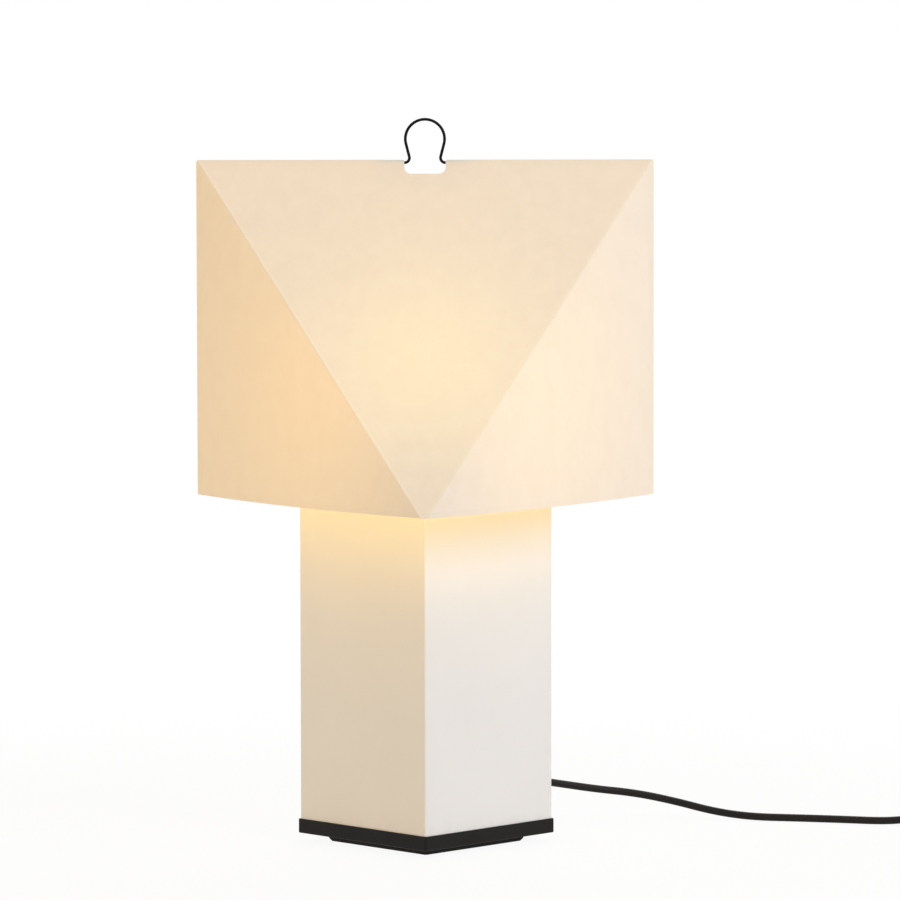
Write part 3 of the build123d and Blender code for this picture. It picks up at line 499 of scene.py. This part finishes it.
def notchCutter(depth):
    # the slot's outline from the front, wider above the ridge so that its upper corners can be rounded
    slot, wide, ridge = shade["notchWidth"] / 2, shade["notchWidth"], shade["ridge"]
    low, high = ridge - depth, ridge + shade["notchWidth"]
    cutter = bmesh.new()
    corners = [cutter.verts.new((x, -shade["notchReach"], z)) for x, z in (
        (-slot, low), (slot, low), (slot, ridge), (wide, ridge), (wide, high), (-wide, high), (-wide, ridge),
        (-slot, ridge))]
    cutter.faces.new(corners)
    for ends, radius in (
            (corners[:2], shade["notchCorner"]), ((corners[2], corners[7]), shade["notchFlare"])):
        bmesh.ops.bevel(cutter, geom=ends, offset=radius, segments=shade["notchSteps"], profile=0.5,
                        affect="VERTICES", material=-1)
    grown = bmesh.ops.extrude_face_region(cutter, geom=cutter.faces[:])["geom"]
    bmesh.ops.translate(cutter, vec=(0, 2 * shade["notchReach"], 0),
                        verts=[item for item in grown if isinstance(item, bmesh.types.BMVert)])
    bmesh.ops.recalc_face_normals(cutter, faces=cutter.faces)
    mesh = bpy.data.meshes.new("notchCutter")
    cutter.to_mesh(mesh)
    cutter.free()
    piece = bpy.data.objects.new("notchCutter", mesh)
    bpy.context.scene.collection.objects.link(piece)
    return piece


def makeSheet(name, node, side, notchDepth, materials):
    form = shadeForm()
    bmesh.ops.bisect_plane(form, geom=everything(form), dist=0.000001, plane_co=(0, 0, 0),
                           plane_no=(0, side, 0), clear_outer=True)
    piece = newPiece(name, form, materials, "shade", node)
    thick = piece.modifiers.new("paper", "SOLIDIFY")
    thick.thickness = shade["thickness"]
    thick.offset = -1
    thick.use_even_offset = True
    thick.material_offset = 1
    cutter = notchCutter(notchDepth)
    cut = piece.modifiers.new("notch", "BOOLEAN")
    cut.object = cutter
    cut.operation = "DIFFERENCE"
    cut.solver = "EXACT"
    graph = bpy.context.evaluated_depsgraph_get()
    finished = bpy.data.meshes.new_from_object(piece.evaluated_get(graph))
    piece.modifiers.clear()
    folded = piece.data
    piece.data = finished
    bpy.data.meshes.remove(folded)
    bpy.data.meshes.remove(cutter.data)
    finished.shade_smooth()
    finished.set_sharp_from_angle(angle=math.radians(shade["sharpAngle"]))


def makeShade():
    materials = [shadePaper(), shadeLining("shadeLining", lining["dark"], lining["pale"])]
    depth = shade["notchDepth"]
    makeSheet("frontPaper", "shade_front_sheet", 1, depth,
              materials)
    makeSheet("backPaper", "shade_back_sheet", -1, depth + shade["backNotchExtra"],
              materials)
    dress(shadeLining("bindingPaper", lining["bindingDark"], lining["bindingPale"]),
          "shade_bottom_binding", "shade_side_bindings", "shade_ridge_bindings")


makeShade()
print("shade folded")


# finishes: a darker and a paler tone, roughness from and to, and grain as its scale and depth in metres
column = dict(
    dark=(0.84, 0.83, 0.80), pale=(0.87, 0.86, 0.83), rough=(0.34, 0.42), peel=700, peelDepth=0.00003,
    lowPatch=(0.62, 0.59, 0.54), lowPatchShare=0.12, lowPatchBand=(0.019, 0.034))

stand = dict(
    base=dict(dark=(0.004, 0.0034, 0.0028), pale=(0.008, 0.0070, 0.0060), rough=(0.38, 0.5), grain=900,
              depth=0.00004, shine=0.16),
    foot=dict(dark=(0.050, 0.048, 0.046), pale=(0.066, 0.064, 0.061), rough=(0.7, 0.85), grain=420,
              depth=0.00012, shine=0.06),
    screws=dict(dark=(0.014, 0.0138, 0.0135), pale=(0.024, 0.0235, 0.023), rough=(0.38, 0.5), grain=900,
                depth=0.00004, shine=0.4),
    zinc=dict(dark=(0.50, 0.50, 0.485), pale=(0.64, 0.64, 0.62), rough=(0.28, 0.42), stretch=(1, 1, 1),
              lines=300))


def whiteLacquer():
    finish = Finish("whiteLacquer")
    place = finish.place()
    height = finish.axes(place)[2]
    cloudy = finish.noise(place, 7)
    peel = finish.noise(place, column["peel"], 2, 0.4)
    # darker in patches just above the base plate
    lowPatch = finish.between(height, *column["lowPatchBand"], 1.0, 0.0)
    lowPatch = lowPatch * finish.between(finish.noise(place, 90, 4), 0.4, 0.75)
    colour = finish.blend(lowPatch * column["lowPatchShare"], finish.tones(cloudy, column), column["lowPatch"])
    return finish.done(finish.surface(
        Base_Color=colour, Roughness=finish.roughness(cloudy, column),
        Normal=finish.bump(peel, column["peelDepth"], 0.4), Coat_Weight=0.25, Coat_Roughness=0.18))


def darkLacquer(name, look):
    finish = Finish(name)
    place = finish.place()
    cloudy = finish.noise(place, 24, 4)
    grain = finish.noise(place, look["grain"], 2, 0.5)
    return finish.done(finish.surface(
        Base_Color=finish.tones(cloudy, look), Roughness=finish.roughness(cloudy, look),
        Normal=finish.bump(grain, look["depth"], 0.6), Specular_IOR_Level=look["shine"]))


def metal(name, look):
    finish = Finish(name)
    place = finish.place()
    lines = finish.noise(finish.stretched(place, look["stretch"]), look["lines"])
    cloudy = finish.noise(place, 120)
    return finish.done(finish.surface(
        Base_Color=finish.tones(cloudy, look), Metallic=1.0, Roughness=finish.roughness(lines, look),
        Normal=finish.bump(lines, 0.00003, 0.4)))


def dressStand():
    dress(whiteLacquer(), "column_tube", "column_top_plate", "upper_corner_blocks", "lower_corner_blocks")
    dress(darkLacquer("baseLacquer", stand["base"]), "base_plate")
    dress(darkLacquer("footRubber", stand["foot"]), "foot_pad")
    dress(darkLacquer("blackenedSteel", stand["screws"]), "base_screws", "switch_screws")
    dress(metal("zincPlate", stand["zinc"]),
          "top_plate_screws", "nipple", "nipple_washer", "nipple_nut", "bulb_tip_contact")


dressStand()
print("stand dressed")


# the glowing bulb, its screw thread, and the finishes of the holder, the wire and the small metal parts
bulb = dict(
    centre=0.3918, radius=0.030, neck=0.345, neckLevel=0.45, crownLoss=0.22, light=(1.0, 0.78, 0.42),
    strength=0.55, dark=(0.56, 0.50, 0.40), pale=(0.61, 0.55, 0.45), filamentColour=(0.85, 0.62, 0.25),
    filamentLight=((1.0, 0.70, 0.30), (1.0, 0.80, 0.46)), filamentStrength=3.0)

thread = dict(
    pitch=0.0036, depth=0.0007, rough=(0.18, 0.3),
    sleeve=dict(dark=(0.58, 0.40, 0.17), pale=(0.80, 0.60, 0.30)),
    cap=dict(dark=(0.52, 0.51, 0.48), pale=(0.76, 0.75, 0.72)))

holder = dict(
    speckColour=(0.30, 0.26, 0.22),
    wire=dict(dark=(0.003, 0.0027, 0.0024), pale=(0.005, 0.0046, 0.0042), rough=(0.4, 0.52), grain=900,
              depth=0.00004, shine=0.1),
    shell=dict(dark=(0.78, 0.77, 0.74), pale=(0.83, 0.82, 0.79), rough=(0.28, 0.36), specks=0.0, coat=0.3),
    core=dict(dark=(0.78, 0.77, 0.73), pale=(0.84, 0.83, 0.79), rough=(0.34, 0.5), specks=0.4, coat=0.0),
    glass=dict(dark=(0.012, 0.012, 0.013), pale=(0.02, 0.02, 0.022), rough=(0.08, 0.16), specks=0.0,
               coat=0.5),
    sleeves=dict(dark=(0.13, 0.075, 0.04), pale=(0.18, 0.11, 0.065), rough=(0.35, 0.45), specks=0.0,
                 coat=0.0),
    brass=dict(dark=(0.62, 0.44, 0.19), pale=(0.78, 0.58, 0.28), rough=(0.22, 0.36), stretch=(1, 1, 1),
               lines=300),
    pins=dict(dark=(0.62, 0.61, 0.58), pale=(0.76, 0.75, 0.72), rough=(0.12, 0.22), stretch=(0.12, 1, 1),
              lines=700))


def opalGlass():
    finish = Finish("opalGlass")
    place = finish.place()
    height = finish.axes(place)[2]
    clouds = finish.noise(place, 40, 2)
    # brightest round the globe's middle, dimmer at the neck and the crown: painted shade that gives the
    # glowing globe its round form
    body = finish.between(height, bulb["neck"], bulb["centre"], bulb["neckLevel"], 1.0)
    crown = finish.between(height, bulb["centre"], bulb["centre"] + bulb["radius"], 0.0, bulb["crownLoss"])
    level = (body - crown) * finish.between(clouds, 0.2, 0.8, 0.94, 1.0)
    return finish.done(finish.surface(
        Base_Color=finish.tones(clouds, bulb), Roughness=0.16, Coat_Weight=0.6, Coat_Roughness=0.05,
        Emission_Color=finish.scaled(bulb["light"], level), Emission_Strength=bulb["strength"]))


def threadedShell(name, look):
    # rolled screw thread, as a helical wave round the lamp's axis
    finish = Finish(name)
    place = finish.place()
    x, y, z = finish.axes(place)
    around = y.maths("ARCTAN2", x) / (2 * math.pi)
    wave = ((z / thread["pitch"] + around) * (2 * math.pi)).maths("SINE")
    scratches = finish.noise(place, 500)
    # the colour follows the wave as well: painted shade in the grooves and a painted highlight on the crests
    return finish.done(finish.surface(
        Base_Color=finish.blend(finish.between(wave, -1.0, 1.0), look["dark"], look["pale"]), Metallic=1.0,
        Roughness=finish.roughness(scratches, thread), Normal=finish.bump(wave, thread["depth"], 0.8)))


def plainInsulator(name, look):
    finish = Finish(name)
    place = finish.place()
    cloudy = finish.noise(place, 60)
    fine = finish.noise(place, 1400, 2)
    specks = finish.between(fine, 0.68, 0.74, 0.0, look["specks"])
    return finish.done(finish.surface(
        Base_Color=finish.blend(specks, finish.tones(cloudy, look), holder["speckColour"]),
        Roughness=finish.roughness(cloudy, look), Normal=finish.bump(fine, 0.00003, 0.4),
        Coat_Weight=look["coat"], Coat_Roughness=0.1))


def clearGlass():
    finish = Finish("stemGlass")
    streaks = finish.noise(finish.stretched(finish.place(), (1, 1, 0.2)), 300, 2)
    return finish.done(finish.surface(
        Base_Color=(0.95, 0.96, 0.95), Roughness=finish.between(streaks, 0.3, 0.7, 0.03, 0.08),
        Transmission_Weight=0.9, IOR=1.5))


def glowingFilament():
    finish = Finish("filament")
    beads = finish.noise(finish.place(), 900, 2)
    return finish.done(finish.surface(
        Base_Color=bulb["filamentColour"], Roughness=0.5,
        Emission_Color=finish.blend(finish.between(beads, 0.3, 0.7), *bulb["filamentLight"]),
        Emission_Strength=bulb["filamentStrength"]))


def dressLight():
    dress(darkLacquer("wireLacquer", holder["wire"]), "harp_wire", "harp_saddle")
    dress(plainInsulator("holderPlastic", holder["shell"]), "lampholder_cap", "lampholder_shell")
    dress(plainInsulator("holderCeramic", holder["core"]), "lampholder_core")
    dress(threadedShell("threadedBrass", thread["sleeve"]), "lampholder_sleeve")
    dress(threadedShell("threadedNickel", thread["cap"]), "bulb_cap")
    dress(metal("brass", holder["brass"]), "lampholder_contact", "lampholder_terminals", "switch_terminals")
    dress(metal("nickelPins", holder["pins"]), "plug_pins")
    dress(plainInsulator("blackGlass", holder["glass"]), "bulb_insulator")
    dress(opalGlass(), "bulb_glass")
    dress(clearGlass(), "bulb_stem")
    dress(glowingFilament(), "bulb_filaments")
    dress(plainInsulator("coreSleeves", holder["sleeves"]), "inner_cord_cores")


dressLight()
print("holder, harp and bulb dressed")


# what sits on the cord
moulded = dict(
    switch=dict(dark=(0.010, 0.0096, 0.0092), pale=(0.016, 0.0155, 0.015), rough=(0.42, 0.56), grain=1900,
                depth=0.00009),
    rocker=dict(dark=(0.008, 0.008, 0.008), pale=(0.012, 0.012, 0.012), rough=(0.22, 0.32), grain=900,
                depth=0.00002),
    rubber=dict(dark=(0.009, 0.0086, 0.0082), pale=(0.014, 0.0135, 0.013), rough=(0.55, 0.7), grain=1300,
                depth=0.00008))


def mouldedBlack(name, look):
    finish = Finish(name)
    place = finish.place()
    cloudy = finish.noise(place, 45)
    grain = finish.noise(place, look["grain"], 3, 0.6)
    return finish.done(finish.surface(
        Base_Color=finish.tones(cloudy, look), Roughness=finish.roughness(grain, look),
        Normal=finish.bump(grain, look["depth"], 0.7), Specular_IOR_Level=0.3))


def dressCordPieces():
    dress(mouldedBlack("grainedPlastic", moulded["switch"]), "switch_lower_shell", "switch_upper_shell")
    dress(mouldedBlack("rockerPlastic", moulded["rocker"]), "switch_rocker")
    dress(mouldedBlack("softRubber", moulded["rubber"]),
          "cord_strain_relief", "plug_body", "plug_relief", "cord_tie")


dressCordPieces()
print("cord pieces dressed")
